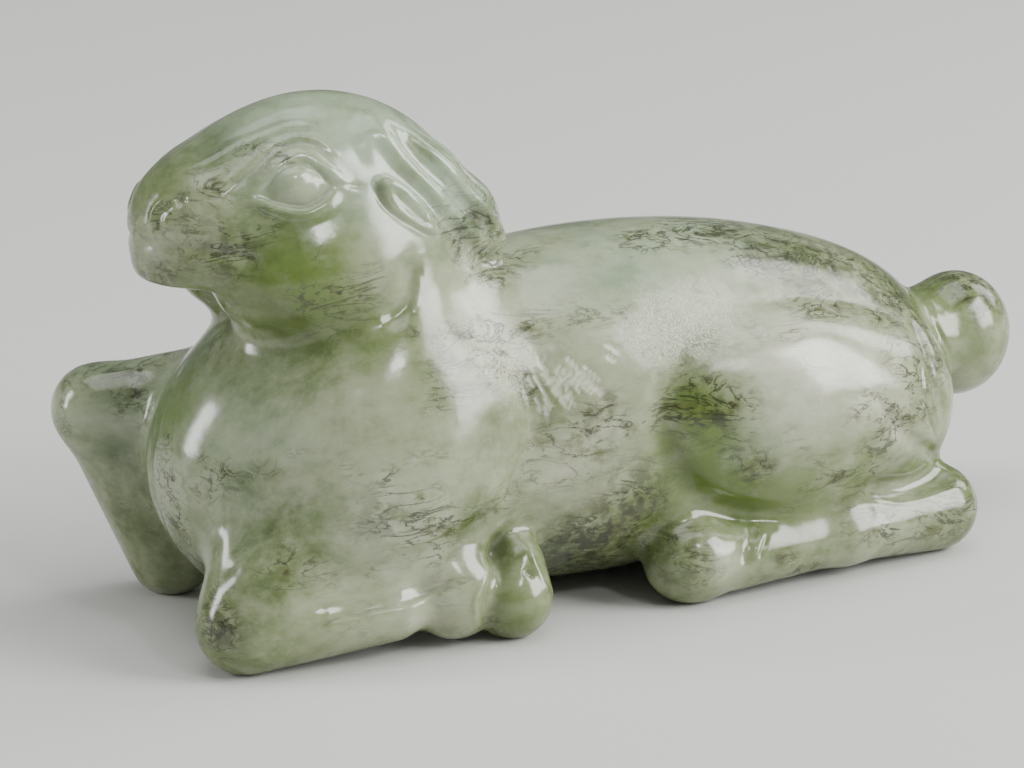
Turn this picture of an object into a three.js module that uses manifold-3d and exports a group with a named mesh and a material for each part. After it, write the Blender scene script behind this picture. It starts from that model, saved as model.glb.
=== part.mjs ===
// A small jade ram that lies with its head up, carved from one pebble.
// Millimetres, +Z up. The head looks towards -X, the tail is at +X, and the side
// with both legs folded flat is at -Y. While it is drawn, X is measured from the
// withers. The finished carving is moved so that its origin is under its middle.
//
// The whole animal is one distance field: eggs and tapered limbs melt into each
// other, and the lines that the carver cut are pressed into the result. A net of
// small cells is stretched over the field, thinned where the surface is smooth,
// and cut flat underneath.
import * as THREE from 'three';
import { mergeVertices } from 'three/addons/utils/BufferGeometryUtils.js';
import Module from 'manifold-3d';

// Driving dimensions
const BACK_TOP = 20.8;          // top of the back above the table
const HEAD_TOP = 30.7;          // top of the crown
const NOSE = -23.9;             // front of the nose
const RUMP = 27.6;              // back of the rump
const TAIL_TIP = 34.4;          // far end of the tail bulb
const FLANK = 9.0;              // middle of the body to the flank
const THIGH = 10.8;             // middle of the body to the outside of a thigh
const SKULL = 5.8;              // middle of the head to its side
const GROUND = 0.25;            // ground off under the rounded knees, hocks and hoofs
const NET_CELL = 0.3;           // cell of the net stretched over the form
const TRIANGLES = 9600;         // what the thinned net keeps

// Distance fields: each is a function of x, y, z, negative inside.

function egg([cx, cy, cz], [rx, ry, rz], { yaw = 0, pitch = 0, roll = 0 } = {}) {
  const euler = new THREE.Euler(...[roll, pitch, yaw].map(THREE.MathUtils.degToRad), 'ZYX');
  const m = new THREE.Matrix4().makeRotationFromEuler(euler).transpose().elements;
  const least = Math.min(rx, ry, rz);
  return (x, y, z) => {
    const dx = x - cx, dy = y - cy, dz = z - cz;
    const px = (m[0] * dx + m[4] * dy + m[8] * dz) / rx;
    const py = (m[1] * dx + m[5] * dy + m[9] * dz) / ry;
    const pz = (m[2] * dx + m[6] * dy + m[10] * dz) / rz;
    const reach = Math.sqrt(px * px + py * py + pz * pz);
    const slope = Math.sqrt((px / rx) ** 2 + (py / ry) ** 2 + (pz / rz) ** 2);
    return slope > 1e-9 ? reach * (reach - 1) / slope : -least;
  };
}

function limb([ax, ay, az], ra, [bx, by, bz], rb) {
  const ux = bx - ax, uy = by - ay, uz = bz - az;
  const length2 = ux * ux + uy * uy + uz * uz;
  const taper = ra - rb;
  const side2 = length2 - taper * taper;
  return (x, y, z) => {
    const px = x - ax, py = y - ay, pz = z - az;
    const along = px * ux + py * uy + pz * uz;
    const beyond = along - length2;
    const ex = px * length2 - ux * along, ey = py * length2 - uy * along, ez = pz * length2 - uz * along;
    const across2 = ex * ex + ey * ey + ez * ez;
    const along2 = along * along * length2, beyond2 = beyond * beyond * length2;
    const k = Math.sign(taper) * taper * taper * across2;
    if (Math.sign(beyond) * side2 * beyond2 > k) return Math.sqrt(across2 + beyond2) / length2 - rb;
    if (Math.sign(along) * side2 * along2 < k) return Math.sqrt(across2 + along2) / length2 - ra;
    return (Math.sqrt(across2 * side2 / length2) + along * taper) / length2 - ra;
  };
}

function melt(softness, ...forms) {
  return (x, y, z) => {
    let d = forms[0](x, y, z);
    for (let i = 1; i < forms.length; i++) {
      const e = forms[i](x, y, z);
      const h = Math.max(softness - Math.abs(d - e), 0);
      d = Math.min(d, e) - h * h / (4 * softness);
    }
    return d;
  };
}

function keepInside(softness, form, other) {
  return (x, y, z) => {
    const d = form(x, y, z), e = other(x, y, z);
    const h = Math.max(softness - Math.abs(d - e), 0);
    return Math.max(d, e) + h * h / (4 * softness);
  };
}

// A chain of limbs through balls given as [x, y, z, radius].
function chain(softness, ...balls) {
  const links = balls.slice(1).map((b, i) => limb(balls[i].slice(0, 3), balls[i][3], b.slice(0, 3), b[3]));
  return links.length > 1 ? melt(softness, ...links) : links[0];
}

const above = (height) => (x, y, z) => height - z;
const bothSides = (form) => (x, y, z) => form(x, -Math.abs(y), z);

// The animal

function trunk() {
  const barrel = egg([4.7, 0, BACK_TOP - 9.9], [22.6, FLANK, 9.9]);
  const rump = egg([RUMP - 10, 0, 8.9], [10, FLANK - 0.2, 8.3]);
  const belly = egg([4, 0, 7.1], [16, 8.3, 6.1]);
  const chest = egg([-11.6, -0.3, 9.8], [10.8, 9.2, 9.2]);
  const neck = limb([-9.2, 0, 13], 8.2, [-10.8, 0, 21.5], 6.0);
  const haunch = bothSides(egg([20.0, -4.4, 9.0], [6.6, 4.9, 6.0]));
  return melt(1.5, melt(2.5, melt(2, barrel, rump, belly), chest, neck), haunch);
}

function head() {
  const skull = egg([-12.9, 0, HEAD_TOP - 10.2], [10.3, SKULL, 10.2]);
  const bridge = egg([-17.4, 0, 26.0], [4.0, 2.6, 2.7], { pitch: -25 });
  const muzzle = egg([NOSE + 4.1, 0, 24.3], [3.6, 3.5, 3.5]);
  const jaw = keepInside(1, melt(1.5, skull, bridge, muzzle), above(21.1));
  const cheek = bothSides(egg([-13.8, -2.6, 21.6], [5.9, 4.0, 3.9], { pitch: -8 }));
  const eyeball = bothSides(egg([-15.5, -3.7, 26.7], [1.45, 1.1, 1.15]));
  return melt(0.4, melt(1.2, jaw, cheek), eyeball);
}

// The horns lie flat on the back of the head and meet in a point at the withers.
function horn() {
  return bothSides(chain(1.5, [-10.0, -1.7, 27.3, 2.5], [-7.2, -2.0, 25.1, 2.4],
    [-4.6, -2.0, 23.2, 1.9], [-2.6, -1.6, 21.4, 1.25]));
}

function ear() {
  return bothSides(egg([-9.1, -5.0, 24.9], [2.3, 0.6, 0.8], { pitch: 47 }));
}

function hindLeg() {
  const thigh = egg([13.8, 3.9 - THIGH, 10.0], [9.9, 3.9, 6.3], { pitch: 6 });
  const shank = chain(1, [24.6, -6.8, 2.75, 2.6], [17.5, -7.9, 2.7, 1.9], [10.5, -8.2, 2.6, 2.1]);
  const hoof = egg([7.4, -8.2, 2.7], [3.0, 2.4, 2.6]);
  return melt(1.5, thigh, melt(1.2, shank, hoof));
}

function nearShoulder() {
  const blade = egg([-10.6, -5.9, 11.0], [7.6, 3.4, 6.4], { pitch: -35 });
  const upperArm = limb([-9.5, -5.4, 9.2], 4.3, [-19.0, -6.5, 4.8], 3.1);
  return melt(2, blade, upperArm);
}

function nearForeleg() {
  const forearm = chain(0.8, [-20.2, -6.8, 2.9, 2.8], [-12, -8.3, 3.0, 1.9]);
  const pastern = egg([-8.0, -8.4, 3.3], [2.8, 2.1, 2.7]);
  const hoof = limb([-4.1, -8.4, 4.4], 1.5, [-4.6, -8.5, 2.5], 2.4);
  return melt(0.4, melt(1.2, forearm, pastern), hoof);
}

function farForeleg() {
  const arm = limb([-12, 4.6, 11.6], 4.0, [-22.4, 8.3, 11.6], 2.3);
  const shin = limb([-22.2, 8.3, 11.4], 2.4, [-18.2, 7.6, 2.4], 2.5);
  const web = egg([-17, 6.0, 8], [4.4, 2.4, 5.8]);
  return melt(1.2, arm, shin, web);
}

function tail() {
  const bulb = egg([TAIL_TIP - 3.6, 1, 10.6], [3.5, 3.2, 3.8]);
  const root = limb([25, 0.6, 10.6], 3.8, [29.4, 1, 10.6], 2.8);
  return melt(0.8, bulb, root);
}

const body = melt(1.4, melt(2.6, trunk(), nearShoulder()), head());
const legs = melt(0.5, bothSides(hindLeg()), nearForeleg(), farForeleg());
const bare = melt(0.5, melt(1.2, body, legs), horn(), ear(), tail());

// Carved lines. Each is a smooth curve through a few places close to the surface. It is
// settled onto the bare form and pressed in with soft sides, or raised where the depth
// is negative, and it runs out gently at both ends.

function settle(form, place) {
  const p = place.clone(), slope = new THREE.Vector3(), reach = 0.02;
  const at = (dx, dy, dz) => form(p.x + dx, p.y + dy, p.z + dz);
  for (let pass = 0; pass < 6; pass++) {
    slope.set(at(reach, 0, 0) - at(-reach, 0, 0), at(0, reach, 0) - at(0, -reach, 0),
      at(0, 0, reach) - at(0, 0, -reach)).divideScalar(2 * reach);
    p.addScaledVector(slope, -at(0, 0, 0) / Math.max(slope.lengthSq(), 0.01));
  }
  return p;
}

function cut(depth, width, ...places) {
  const curve = new THREE.CatmullRomCurve3(places.map((p) => new THREE.Vector3(...p)));
  const count = Math.max(2, Math.ceil(curve.getLength() / 0.6));
  const beads = curve.getSpacedPoints(count).map((p) => settle(bare, p));
  const box = new THREE.Box3().setFromPoints(beads).expandByScalar(2.2 * width);
  const links = beads.slice(1).map((b, i) => {
    const a = beads[i];
    return [a.x, a.y, a.z, b.x - a.x, b.y - a.y, b.z - a.z];
  });
  return (x, y, z) => {
    if (x < box.min.x || y < box.min.y || z < box.min.z) return 0;
    if (x > box.max.x || y > box.max.y || z > box.max.z) return 0;
    let nearest = Infinity, where = 0;
    for (let i = 0; i < links.length; i++) {
      const [ax, ay, az, ux, uy, uz] = links[i];
      const px = x - ax, py = y - ay, pz = z - az;
      const along = (px * ux + py * uy + pz * uz) / (ux * ux + uy * uy + uz * uz);
      const t = Math.min(Math.max(along, 0), 1);
      const apart = (px - t * ux) ** 2 + (py - t * uy) ** 2 + (pz - t * uz) ** 2;
      if (apart < nearest) [nearest, where] = [apart, (i + t) / links.length];
    }
    const runOut = Math.min(1, 0.15 + 5 * where, 0.15 + 5 * (1 - where));
    return depth * runOut * Math.exp(-nearest / (width * width));
  };
}

// Lines that both sides have, given on the near side.
function pairedLines() {
  return [
    // the upper and lower ridge of a horn, the groove between them and the hollow in front
    cut(-0.2, 0.45, [-8.6, -2.3, 29.2], [-7.1, -3.5, 27.4], [-5.3, -3.9, 25.4],
      [-3.2, -3.7, 23.1], [-2.1, -2.7, 21.8]),
    cut(0.42, 0.5, [-9.6, -3.2, 29.2], [-8.2, -3.9, 27.3], [-6.7, -4.4, 25.7],
      [-4.6, -4.1, 23.5], [-3.1, -3.6, 22.0]),
    cut(-0.2, 0.45, [-10.0, -3.4, 29.1], [-8.9, -3.9, 27.3], [-7.0, -4.6, 25.1],
      [-4.9, -4.2, 22.9], [-2.8, -2.8, 21.2]),
    cut(0.2, 0.6, [-10.5, -3.3, 29.1], [-9.9, -4.2, 27.4], [-8.4, -4.6, 25.7], [-6.7, -4.5, 24.0]),
    // raised lower edge of the ear and its hollow
    cut(-0.1, 0.35, [-10.8, -5.0, 26.3], [-10.3, -5.4, 25.1], [-9.2, -5.5, 24.3], [-7.4, -5.0, 23.0]),
    cut(0.25, 0.35, [-10.2, -5.2, 26.2], [-9.4, -5.6, 25.2], [-8.2, -5.5, 24.0]),
    // upper and lower lid, and the fold that runs back from them
    cut(-0.3, 0.34, [-18.3, -3.8, 26.2], [-17.2, -3.8, 27.2], [-16.3, -3.6, 27.9], [-14.9, -3.6, 28.2],
      [-13.8, -4.1, 27.4], [-12.6, -4.7, 26.3]),
    cut(-0.3, 0.34, [-18.3, -3.8, 26.2], [-16.9, -4.5, 25.5], [-15.6, -5.0, 25.2], [-14.3, -5.0, 25.5],
      [-13.2, -4.8, 26.2]),
    // nostril, the wing of the nose, and the mouth
    cut(0.42, 0.32, [-21.8, -2.4, 26.3], [-21.4, -2.6, 26.1]),
    cut(0.2, 0.28, [-21.9, -2.3, 26.0], [-22.6, -1.9, 25.5], [-22.7, -1.9, 24.8], [-22.4, -2.5, 24.2]),
    cut(0.2, 0.32, [-23.5, 0, 23.5], [-22.8, -2.1, 23.7], [-21.4, -3.3, 23.7],
      [-19.6, -4.2, 23.3], [-17.8, -5.3, 22.9]),
    // back of the cheek
    cut(0.35, 0.6, [-9.4, -6.1, 22.4], [-9.6, -6.4, 21.2], [-10.3, -6.8, 19.9], [-11.6, -6.9, 18.9]),
    // crease around the thigh
    cut(0.5, 0.8, [7.2, -8.4, 14.8], [5.2, -8.8, 12.8], [4.8, -9.0, 11.0], [5.3, -9.0, 9.2],
      [6.6, -9.0, 7.5], [8.2, -8.8, 6.2], [10.0, -8.9, 5.3], [12.5, -9.1, 4.7]),
    // folds at the hock
    cut(0.4, 0.4, [18.5, -10.2, 11.2], [19.4, -10.1, 9.8], [20.9, -9.5, 8.4],
      [22.8, -8.6, 7.1], [24.7, -7.0, 5.8]),
    cut(0.6, 0.55, [17.6, -9.6, 6.1], [19.9, -9.0, 5.3], [21.9, -8.6, 4.9], [25.2, -8.0, 5.3]),
    // cleft above the hind hoof
    cut(0.35, 0.45, [10.7, -9.2, 4.5], [10.0, -10.0, 3.8], [9.4, -10.3, 2.6]),
    // fold of the rump beside the tail
    cut(0.3, 0.5, [23.4, -5.6, 14.2], [23.2, -6.8, 12.9], [23.2, -7.8, 11.2], [24.2, -7.8, 8.6]),
  ];
}

// Lines of the folded foreleg on the near side, the chest and the tail.
function singleLines() {
  return [
    cut(0.35, 0.8, [-4.3, -7.6, 15.4], [-3.4, -8.1, 13.9], [-3.1, -8.4, 12.6],
      [-3.3, -8.6, 11.1], [-4.4, -8.9, 9.6], [-5.5, -9.0, 8.3]),
    cut(0.3, 0.9, [-5.5, -9.0, 8.0], [-9.3, -9.9, 6.6], [-14.7, -9.8, 5.5], [-17.4, -9.8, 5.3]),
    cut(0.2, 0.9, [-16.5, -8.5, 10.8], [-19.0, -7.5, 8.6], [-20.8, -7.2, 7.2], [-22.0, -7.5, 5.4]),
    cut(0.45, 0.45, [-5.1, -8.2, 6.3], [-5.9, -8.9, 5.0], [-6.8, -10.0, 3.6], [-6.9, -10.0, 1.6]),
    cut(0.25, 0.5, [-16.5, -9.6, 3.9], [-13.1, -9.8, 4.0], [-10.4, -9.9, 4.6]),
    cut(0.2, 0.5, [-20.0, 2.2, 15.4], [-21.4, 1.6, 12.9], [-22.1, 1.4, 10.8], [-22.1, 1.0, 8.6],
      [-21.6, 0.9, 6.2]),
    cut(0.3, 0.4, [27.6, 1.2, 14.2], [27.4, -1.0, 13.5], [27.6, -2.2, 12.3], [27.8, -2.8, 10.8],
      [27.8, -2.5, 9.0]),
  ];
}

function carved(form, paired, single) {
  const nearEnough = 1.6;
  return (x, y, z) => {
    let d = form(x, y, z);
    if (Math.abs(d) > nearEnough) return d;
    for (const line of paired) d += line(x, -Math.abs(y), z);
    for (const line of single) d += line(x, y, z);
    return d;
  };
}

const ram = carved(bare, pairedLines(), singleLines());

// Stretches a net over the field: one corner in each cell that the surface crosses.
// Blocks of cells that lie well away from the surface are filled without a look inside.
function stretchNet(field, low, high, cell) {
  const block = 6;
  const n = low.map((v, i) => Math.ceil((high[i] - v) / cell / block) * block + 1);
  const id = (i, j, k) => i + n[0] * (j + n[1] * k);
  const at = (axis, i) => low[axis] + i * cell;
  const value = new Float32Array(n[0] * n[1] * n[2]);
  const clear = block * cell * 1.5;
  const inBlock = (start, axis) => Math.min(start + block, n[axis]);
  for (let k0 = 0; k0 < n[2]; k0 += block)
    for (let j0 = 0; j0 < n[1]; j0 += block)
      for (let i0 = 0; i0 < n[0]; i0 += block) {
        const middle = field(...[i0, j0, k0].map((v, axis) => at(axis, v + block / 2)));
        const near = Math.abs(middle) < clear;
        for (let k = k0; k < inBlock(k0, 2); k++)
          for (let j = j0; j < inBlock(j0, 1); j++)
            for (let i = i0; i < inBlock(i0, 0); i++)
              value[id(i, j, k)] = near ? field(at(0, i), at(1, j), at(2, k)) : middle;
      }

  // Where stone and air meet crosswise on a cell wall, two sheets would share an edge.
  // Such a chink is narrower than a cell and is filled.
  const step = [1, n[0], n[0] * n[1]];
  for (let a = 0; a < value.length - step[2] - step[1]; a++)
    for (let axis = 0; axis < 3; axis++) {
      const b = a + step[axis], d = a + step[(axis + 1) % 3], c = b + d - a;
      const crosswise = value[a] < 0 !== value[b] < 0 && value[b] < 0 !== value[c] < 0
        && value[c] < 0 !== value[d] < 0;
      if (crosswise) [a, b, c, d].forEach((q) => (value[q] = Math.min(value[q], -0.02)));
    }

  const corner = new Int32Array(value.length).fill(-1);
  const points = [];
  for (let k = 0; k < n[2] - 1; k++)
    for (let j = 0; j < n[1] - 1; j++)
      for (let i = 0; i < n[0] - 1; i++) {
        const base = id(i, j, k);
        const sum = [0, 0, 0];
        let crossings = 0;
        for (let axis = 0; axis < 3; axis++) {
          const [u, v] = [(axis + 1) % 3, (axis + 2) % 3];
          for (let c = 0; c < 4; c++) {
            const du = c & 1, dv = c >> 1;
            const start = base + du * step[u] + dv * step[v];
            const a = value[start], b = value[start + step[axis]];
            if (a < 0 === b < 0) continue;
            sum[axis] += a / (a - b);
            sum[u] += du;
            sum[v] += dv;
            crossings++;
          }
        }
        if (!crossings) continue;
        corner[base] = points.length / 3;
        for (let axis = 0; axis < 3; axis++) {
          points.push(at(axis, [i, j, k][axis] + sum[axis] / crossings));
        }
      }

  const faces = [];
  for (let k = 1; k < n[2] - 1; k++)
    for (let j = 1; j < n[1] - 1; j++)
      for (let i = 1; i < n[0] - 1; i++) {
        const here = id(i, j, k);
        for (let axis = 0; axis < 3; axis++) {
          const a = value[here], b = value[here + step[axis]];
          if (a < 0 === b < 0) continue;
          const u = step[(axis + 1) % 3], v = step[(axis + 2) % 3];
          const quad = [here - u - v, here - v, here, here - u].map((c) => corner[c]);
          if (a >= 0) quad.reverse();
          const [p, q, r, s] = quad;
          faces.push(p, q, r, p, r, s);
        }
      }
  return { points, faces };
}

// Thins the net: edges are drawn together, the least noticed first. What an edge would
// cost is the squared distance of its new corner from the planes of the faces it stands
// for, summed in each corner as the ten numbers of a symmetric 4 x 4 matrix.
function thin({ points, faces }, wanted, careAt) {
  const p = Float64Array.from(points);
  const corners = p.length / 3;
  const quadric = new Float64Array(corners * 10);
  const around = Array.from({ length: corners }, () => []);
  const tri = Int32Array.from(faces);
  const stamp = new Int32Array(corners);
  const alive = new Uint8Array(tri.length / 3).fill(1);
  const others = (t, v) => [tri[3 * t], tri[3 * t + 1], tri[3 * t + 2]].filter((c) => c !== v);

  const normal = (a, b, c) => {
    const ux = b[0] - a[0], uy = b[1] - a[1], uz = b[2] - a[2];
    const vx = c[0] - a[0], vy = c[1] - a[1], vz = c[2] - a[2];
    return [uy * vz - uz * vy, uz * vx - ux * vz, ux * vy - uy * vx];
  };
  const place = (v) => [p[3 * v], p[3 * v + 1], p[3 * v + 2]];

  for (let t = 0; t < alive.length; t++) {
    const [a, b, c] = [0, 1, 2].map((i) => tri[3 * t + i]);
    const n = normal(place(a), place(b), place(c));
    const size = Math.hypot(...n) || 1e-12;
    const [nx, ny, nz] = n.map((v) => v / size);
    const d = -(nx * p[3 * a] + ny * p[3 * a + 1] + nz * p[3 * a + 2]);
    const plane = [nx * nx, nx * ny, nx * nz, nx * d, ny * ny, ny * nz, ny * d, nz * nz, nz * d, d * d];
    const care = size * careAt(...place(a));
    for (const v of [a, b, c]) {
      for (let i = 0; i < 10; i++) quadric[10 * v + i] += plane[i] * care;
      around[v].push(t);
    }
  }

  const costAt = (q, [x, y, z]) => q[0] * x * x + 2 * q[1] * x * y + 2 * q[2] * x * z + 2 * q[3] * x
    + q[4] * y * y + 2 * q[5] * y * z + 2 * q[6] * y + q[7] * z * z + 2 * q[8] * z + q[9];

  function bestPlace(a, b) {
    const q = Array.from({ length: 10 }, (_, i) => quadric[10 * a + i] + quadric[10 * b + i]);
    const pa = place(a), pb = place(b);
    const middle = pa.map((v, i) => (v + pb[i]) / 2);
    const m = new THREE.Matrix3().set(q[0], q[1], q[2], q[1], q[4], q[5], q[2], q[5], q[7]);
    const options = [middle, pa, pb];
    if (Math.abs(m.determinant()) > 1e-7) {
      const best = new THREE.Vector3(-q[3], -q[6], -q[8]).applyMatrix3(m.invert()).toArray();
      const edge = Math.hypot(...pa.map((v, i) => v - pb[i]));
      if (Math.hypot(...best.map((v, i) => v - middle[i])) < 1.5 * edge) options.push(best);
    }
    const costs = options.map((o) => costAt(q, o));
    const least = Math.min(...costs);
    return { cost: Math.max(least, 0), spot: options[costs.indexOf(least)] };
  }

  const heap = [];
  const before = (i, j) => heap[i].cost < heap[j].cost;
  const swap = (i, j) => ([heap[i], heap[j]] = [heap[j], heap[i]]);
  function push(item) {
    let i = heap.push(item) - 1;
    while (i > 0 && before(i, (i - 1) >> 1)) {
      swap(i, (i - 1) >> 1);
      i = (i - 1) >> 1;
    }
  }
  function pop() {
    const top = heap[0], last = heap.pop();
    if (heap.length) heap[0] = last;
    for (let i = 0, child = 1; child < heap.length; i = child, child = 2 * i + 1) {
      if (child + 1 < heap.length && before(child + 1, child)) child++;
      if (!before(child, i)) break;
      swap(i, child);
    }
    return top;
  }
  const propose = (a, b) => push({ a, b, sa: stamp[a], sb: stamp[b], ...bestPlace(a, b) });

  function turnsOver(v, gone, spot) {
    return around[v].some((t) => {
      const [a, b, c] = [tri[3 * t], tri[3 * t + 1], tri[3 * t + 2]];
      if (a === gone || b === gone || c === gone) return false;
      const was = normal(place(a), place(b), place(c));
      const now = normal(...[a, b, c].map((w) => (w === v ? spot : place(w))));
      const turn = was[0] * now[0] + was[1] * now[1] + was[2] * now[2];
      return turn < 0.2 * Math.hypot(...was) * Math.hypot(...now);
    });
  }

  for (let t = 0; t < alive.length; t++)
    for (let i = 0; i < 3; i++) {
      const a = tri[3 * t + i], b = tri[3 * t + (i + 1) % 3];
      if (a < b) propose(a, b);
    }

  let left = alive.length;
  while (left > wanted && heap.length) {
    const { a, b, sa, sb, spot } = pop();
    if (stamp[a] !== sa || stamp[b] !== sb) continue;
    const ringA = new Set(around[a].flatMap((t) => others(t, a)));
    const shared = new Set(around[b].flatMap((t) => others(t, b)).filter((v) => ringA.has(v)));
    if (shared.size !== 2 || turnsOver(a, b, spot) || turnsOver(b, a, spot)) continue;
    for (const t of around[b]) {
      const corner = [0, 1, 2].find((i) => tri[3 * t + i] === b);
      if (others(t, b).includes(a)) {
        alive[t] = 0;
        left--;
        for (const v of others(t, b)) around[v] = around[v].filter((other) => other !== t);
      } else {
        tri[3 * t + corner] = a;
        around[a].push(t);
      }
    }
    around[b] = [];
    p.set(spot, 3 * a);
    for (let i = 0; i < 10; i++) quadric[10 * a + i] += quadric[10 * b + i];
    stamp[b] = -1;
    stamp[a]++;
    for (const v of new Set(around[a].flatMap((t) => others(t, a)))) propose(a, v);
  }

  const kept = [];
  for (let t = 0; t < alive.length; t++) {
    if (alive[t]) kept.push(tri[3 * t], tri[3 * t + 1], tri[3 * t + 2]);
  }
  return { points: p, faces: kept };
}

const wasm = await Module();
wasm.setup();

function solid(geometry) {
  const bareCorners = geometry.clone();
  bareCorners.deleteAttribute('normal');
  bareCorners.deleteAttribute('uv');
  const merged = mergeVertices(bareCorners, 1e-5);
  return new wasm.Manifold(new wasm.Mesh({
    numProp: 3,
    vertProperties: Float32Array.from(merged.attributes.position.array),
    triVerts: Uint32Array.from(merged.index.array),
  }));
}

function geometryOf(points, faces) {
  const geometry = new THREE.BufferGeometry();
  geometry.setAttribute('position', new THREE.BufferAttribute(Float32Array.from(points), 3));
  geometry.setIndex(Array.from(faces));
  return geometry;
}

// The knees, hocks and hoofs are ground flat where they touch the table.
function groundFlat(geometry) {
  const table = new THREE.BoxGeometry(100, 60, 20).translate(0, 0, GROUND - 10);
  const { vertProperties, triVerts } = solid(geometry).subtract(solid(table)).getMesh();
  return geometryOf(vertProperties, triVerts);
}

// The head holds the finest carving, so its corners are given up later than the body's.
const care = (x, y, z) => (x < -1.5 && z > 21.5 ? 12 : 1);
const net = thin(stretchNet(ram, [-28, -14, -2], [38, 14, 34], NET_CELL), TRIANGLES, care);
const geometry = groundFlat(geometryOf(net.points, net.faces));
geometry.computeBoundingBox();
const middle = geometry.boundingBox.getCenter(new THREE.Vector3());

const jade = new THREE.MeshStandardMaterial({ color: 0x9aa884, roughness: 0.28, metalness: 0 });
const carving = new THREE.Mesh(geometry, jade);
carving.name = 'jade_ram';
carving.position.set(-middle.x, -middle.y, -GROUND);
const group = new THREE.Group();
group.add(carving);
export default group;
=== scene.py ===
# %% [markdown]
# # A jade ram
#
# A small ram lies with its head up and one foreleg raised. It is carved from one pebble of pale
# green jade: no joints, no glue, nothing set in. The lesson follows the carver. First the big
# rounded forms are blocked out, then the lines are cut with a small wheel, then the coat is
# scratched in, and at the end the stone is polished, all but a few patches.

# %%
import math
import bmesh
import bpy
import numpy as np
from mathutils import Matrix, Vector


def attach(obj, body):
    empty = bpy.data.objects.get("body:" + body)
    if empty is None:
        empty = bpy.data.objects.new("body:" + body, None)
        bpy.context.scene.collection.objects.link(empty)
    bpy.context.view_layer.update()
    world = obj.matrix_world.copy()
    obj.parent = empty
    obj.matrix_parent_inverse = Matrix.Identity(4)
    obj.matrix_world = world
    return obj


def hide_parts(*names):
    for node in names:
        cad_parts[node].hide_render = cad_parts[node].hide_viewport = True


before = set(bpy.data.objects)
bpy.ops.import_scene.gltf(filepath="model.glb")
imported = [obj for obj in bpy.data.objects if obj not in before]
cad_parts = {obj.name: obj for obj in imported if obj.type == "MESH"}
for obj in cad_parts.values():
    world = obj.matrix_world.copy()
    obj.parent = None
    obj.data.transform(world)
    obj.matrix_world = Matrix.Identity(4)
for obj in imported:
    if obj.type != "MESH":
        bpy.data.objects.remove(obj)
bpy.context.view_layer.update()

# %% [markdown]
# ## One drawing for the carver and for us
#
# The ram is drawn in millimetres from the withers, with Y to the far side and Z up from the
# drawing's own ground line. The stone is then ground flat a quarter of a millimetre above that
# line, and its place in the scene is in metres from under its middle. Two small functions go
# from one to the other, so every number below can be read off a ruler.

# %%
WITHERS = np.array([4.6796, 0.0236, 0.25])
GROUND = 0.25


def to_drawing(metres):
    return np.asarray(metres) * 1000 + WITHERS


def to_scene(millimetres):
    return (np.asarray(millimetres) - WITHERS) / 1000


# %% [markdown]
# ## Rounded forms as distances
#
# Jade is not chipped but ground away, so every form comes out rounded and runs softly into its
# neighbour. Distances describe that well: a form is a function that says how far a point is from
# its skin, negative inside. Two forms *melt* when the smaller of the two distances is rounded off
# where they are nearly equal, which is what a wheel does in an inner corner.

# %%
def egg(centre, radii, pitch=0.0):
    c, r = np.array(centre, float), np.array(radii, float)
    s, k = math.sin(math.radians(pitch)), math.cos(math.radians(pitch))
    turn = np.array([[k, 0, s], [0, 1, 0], [-s, 0, k]])

    def distance(p):
        q = (p - c) @ turn / r
        reach = np.linalg.norm(q, axis=1)
        slope = np.linalg.norm(q / r, axis=1)
        return reach * (reach - 1) / np.maximum(slope, 1e-9)
    return distance


def limb(a, ra, b, rb):
    a, b = np.array(a, float), np.array(b, float)
    u = b - a
    length2, taper = u @ u, ra - rb
    side2 = length2 - taper * taper

    def distance(p):
        q = p - a
        along = q @ u
        beyond = along - length2
        across2 = ((q * length2 - along[:, None] * u) ** 2).sum(axis=1)
        k = math.copysign(1, taper) * taper * taper * across2
        far = np.sign(beyond) * side2 * beyond ** 2 * length2 > k
        near = np.sign(along) * side2 * along ** 2 * length2 < k
        d = (np.sqrt(across2 * side2 / length2) + along * taper) / length2 - ra
        d = np.where(near, np.sqrt(across2 + along ** 2 * length2) / length2 - ra, d)
        return np.where(far, np.sqrt(across2 + beyond ** 2 * length2) / length2 - rb, d)
    return distance


def melt(softness, *forms):
    def distance(p):
        d = forms[0](p)
        for form in forms[1:]:
            e = form(p)
            h = np.maximum(softness - np.abs(d - e), 0)
            d = np.minimum(d, e) - h * h / (4 * softness)
        return d
    return distance


def keep_above(softness, form, height):
    def distance(p):
        d, e = form(p), height - p[:, 2]
        h = np.maximum(softness - np.abs(d - e), 0)
        return np.maximum(d, e) + h * h / (4 * softness)
    return distance


def chain(softness, *balls):
    return melt(softness, *[limb(a[:3], a[3], b[:3], b[3]) for a, b in zip(balls, balls[1:])])


def near_side(p):
    return p * (1, 0, 1) - np.abs(p) * (0, 1, 0)


def both_sides(form):
    return lambda p: form(near_side(p))


# %% [markdown]
# ## The big forms
#
# The trunk is a barrel with a rounder rump and chest, and a thick neck that leans back. The head is
# one tall egg with the nose bridge, muzzle and cheeks melted on, cut off flat under the jaw. It was
# blocked out this way because a profile alone would leave the sides of the face flat.

# %%
def trunk():
    barrel = egg([4.7, 0, 10.9], [22.6, 9.0, 9.9])
    rump = egg([17.6, 0, 8.9], [10, 8.8, 8.3])
    belly = egg([4, 0, 7.1], [16, 8.3, 6.1])
    chest = egg([-11.6, -0.3, 9.8], [10.8, 9.2, 9.2])
    neck = limb([-9.2, 0, 13], 8.2, [-10.8, 0, 21.5], 6.0)
    haunch = both_sides(egg([20.0, -4.4, 9.0], [6.6, 4.9, 6.0]))
    return melt(1.5, melt(2.5, melt(2, barrel, rump, belly), chest, neck), haunch)


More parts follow.
